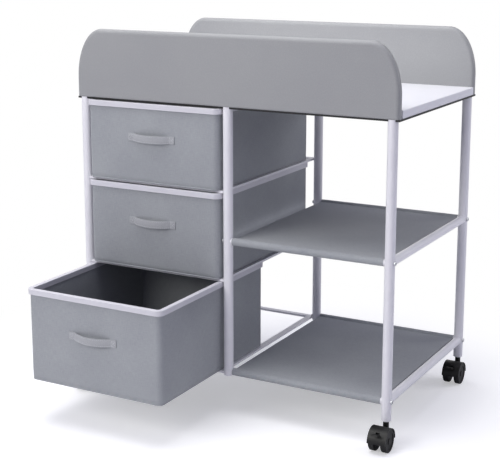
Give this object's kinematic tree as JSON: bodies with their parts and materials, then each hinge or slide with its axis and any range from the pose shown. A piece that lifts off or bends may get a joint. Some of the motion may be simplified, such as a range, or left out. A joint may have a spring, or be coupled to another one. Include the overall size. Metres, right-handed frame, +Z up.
{
  "type": "portable changing table",
  "caption": "Wheeled changing table with a guarded top board, pull-out fabric drawers on one side, sling shelves on the other and braked swivel casters.",
  "frame": {"origin": "on the floor, at the centre of the bounding box with the bottom drawer standing open", "axes": "+Z up, the drawer fronts face -Y, the drawers are on the -X side"},
  "size_m": [0.808, 0.742, 0.865],
  "materials": {
    "white_steel_tube": "satin powder coat",
    "white_steel_bar": "satin powder coat",
    "plug_plastic": "moulded",
    "black_panel": "matte",
    "white_board": "smooth white melamine on fibreboard",
    "core_board": "raw fibreboard",
    "grey_leatherette": "fine grained synthetic leather",
    "bright_steel": "zinc plated",
    "grey_fabric": "woven non-stretch fabric",
    "light_rim": "satin",
    "grey_webbing": "flat webbing",
    "black_plastic": "semi gloss nylon",
    "black_tread": "satin polyurethane",
    "dark_steel": "plain"
  },
  "bodies": {
    "frame": {"post_front_left": "white_steel_tube", "post_front_middle": "white_steel_tube", "post_front_right": "white_steel_tube", "post_back_left": "white_steel_tube", "post_back_middle": "white_steel_tube", "post_back_right": "white_steel_tube", "post_plugs": "plug_plastic", "base_panel": "black_panel", "top_board": "white_board", "guard_front_core": "core_board", "guard_front_cover": "grey_leatherette", "guard_back_core": "core_board", "guard_back_cover": "grey_leatherette", "guard_screws": "bright_steel", "upper_shelf_rails": "white_steel_tube", "lower_shelf_rails": "white_steel_tube", "upper_side_rail": "white_steel_tube", "lower_side_rail": "white_steel_tube", "upper_shelf_fabric": "grey_fabric", "lower_shelf_fabric": "grey_fabric", "upper_shelf_board": "core_board", "lower_shelf_board": "core_board", "rail_inserts": "plug_plastic", "frame_bolts": "bright_steel", "upper_bay_bars": "white_steel_bar", "middle_bay_bars": "white_steel_bar", "lower_bay_bars": "white_steel_bar", "upper_runners": "white_steel_bar", "middle_runners": "white_steel_bar", "lower_runners": "white_steel_bar", "caster_sockets": "plug_plastic", "caster_stems": "dark_steel"},
    "drawer_1": {"drawer_1_bin": "grey_fabric", "drawer_1_boards": "core_board", "drawer_1_rim": "light_rim", "drawer_1_handle": "grey_webbing"},
    "drawer_2": {"drawer_2_bin": "grey_fabric", "drawer_2_boards": "core_board", "drawer_2_rim": "light_rim", "drawer_2_handle": "grey_webbing"},
    "drawer_3": {"drawer_3_bin": "grey_fabric", "drawer_3_boards": "core_board", "drawer_3_rim": "light_rim", "drawer_3_handle": "grey_webbing"},
    "caster_front_left_swivel": {"caster_front_left_hood": "black_plastic", "caster_front_left_axle": "dark_steel"},
    "caster_front_left_roll": {"caster_front_left_wheels": "black_tread"},
    "caster_front_left_brake": {"caster_front_left_lever": "black_plastic"},
    "caster_front_right_swivel": {"caster_front_right_hood": "black_plastic", "caster_front_right_axle": "dark_steel"},
    "caster_front_right_roll": {"caster_front_right_wheels": "black_tread"},
    "caster_front_right_brake": {"caster_front_right_lever": "black_plastic"},
    "caster_back_left_swivel": {"caster_back_left_hood": "black_plastic", "caster_back_left_axle": "dark_steel"},
    "caster_back_left_roll": {"caster_back_left_wheels": "black_tread"},
    "caster_back_left_brake": {"caster_back_left_lever": "black_plastic"},
    "caster_back_right_swivel": {"caster_back_right_hood": "black_plastic", "caster_back_right_axle": "dark_steel"},
    "caster_back_right_roll": {"caster_back_right_wheels": "black_tread"},
    "caster_back_right_brake": {"caster_back_right_lever": "black_plastic"}
  },
  "joints": [
    {"name": "drawer_1_slide", "type": "slide", "parent": "frame", "child": "drawer_1", "axis": [0, -1, 0], "range_m": [0, 0.3]},
    {"name": "drawer_2_slide", "type": "slide", "parent": "frame", "child": "drawer_2", "axis": [0, -1, 0], "range_m": [0, 0.3]},
    {"name": "drawer_3_slide", "type": "slide", "parent": "frame", "child": "drawer_3", "axis": [0, -1, 0], "range_m": [-0.239, 0.061]},
    {"name": "caster_front_left_turn", "type": "hinge", "parent": "frame", "child": "caster_front_left_swivel", "pos_m": [-0.383, -0.1, 0.05], "axis": [0, 0, 1], "continuous": true},
    {"name": "caster_front_left_spin", "type": "hinge", "parent": "caster_front_left_swivel", "child": "caster_front_left_roll", "pos_m": [-0.383, -0.126, 0.025], "axis": [1, 0, 0], "continuous": true},
    {"name": "caster_front_left_pedal", "type": "hinge", "parent": "caster_front_left_swivel", "child": "caster_front_left_brake", "pos_m": [-0.383, -0.1377, 0.03997], "axis": [-1, 0, 0], "range_deg": [0, 18]},
    {"name": "caster_front_right_turn", "type": "hinge", "parent": "frame", "child": "caster_front_right_swivel", "pos_m": [0.383, -0.1, 0.05], "axis": [0, 0, 1], "continuous": true},
    {"name": "caster_front_right_spin", "type": "hinge", "parent": "caster_front_right_swivel", "child": "caster_front_right_roll", "pos_m": [0.383, -0.126, 0.025], "axis": [1, 0, 0], "continuous": true},
    {"name": "caster_front_right_pedal", "type": "hinge", "parent": "caster_front_right_swivel", "child": "caster_front_right_brake", "pos_m": [0.383, -0.1377, 0.03997], "axis": [-1, 0, 0], "range_deg": [0, 18]},
    {"name": "caster_back_left_turn", "type": "hinge", "parent": "frame", "child": "caster_back_left_swivel", "pos_m": [-0.383, 0.36, 0.05], "axis": [0, 0, 1], "continuous": true},
    {"name": "caster_back_left_spin", "type": "hinge", "parent": "caster_back_left_swivel", "child": "caster_back_left_roll", "pos_m": [-0.383, 0.334, 0.025], "axis": [1, 0, 0], "continuous": true},
    {"name": "caster_back_left_pedal", "type": "hinge", "parent": "caster_back_left_swivel", "child": "caster_back_left_brake", "pos_m": [-0.383, 0.3223, 0.03997], "axis": [-1, 0, 0], "range_deg": [0, 18]},
    {"name": "caster_back_right_turn", "type": "hinge", "parent": "frame", "child": "caster_back_right_swivel", "pos_m": [0.383, 0.36, 0.05], "axis": [0, 0, 1], "continuous": true},
    {"name": "caster_back_right_spin", "type": "hinge", "parent": "caster_back_right_swivel", "child": "caster_back_right_roll", "pos_m": [0.383, 0.334, 0.025], "axis": [1, 0, 0], "continuous": true},
    {"name": "caster_back_right_pedal", "type": "hinge", "parent": "caster_back_right_swivel", "child": "caster_back_right_brake", "pos_m": [0.383, 0.3223, 0.03997], "axis": [-1, 0, 0], "range_deg": [0, 18]}
  ]
}
